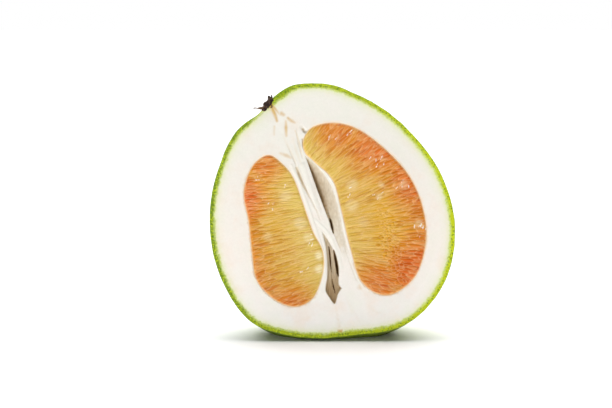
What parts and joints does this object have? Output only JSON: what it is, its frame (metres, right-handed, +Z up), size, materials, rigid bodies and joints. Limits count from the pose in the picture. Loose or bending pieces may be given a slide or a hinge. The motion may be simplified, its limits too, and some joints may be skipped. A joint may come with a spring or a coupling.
{
  "type": "halved pomelo",
  "caption": "Half of a green-skinned pomelo cut lengthwise, with thick white pith, pink-orange flesh and an open core, standing on a small flat spot.",
  "frame": {"origin": "in the flat resting spot on the underside, on the surface that the fruit stands on", "axes": "+Z is up, -Y is the way the cut face looks (it leans back 7 degrees), +X is to the right as seen from in front of the cut"},
  "size_m": [0.1526, 0.0871, 0.1589],
  "materials": {
    "rind": "satin",
    "pith": "matte",
    "flesh": "gloss",
    "calyx": "matte"
  },
  "bodies": {
    "root": {"rind": "rind", "pith": "pith", "flesh_left": "flesh", "flesh_right": "flesh", "calyx": "calyx"}
  },
  "joints": []
}
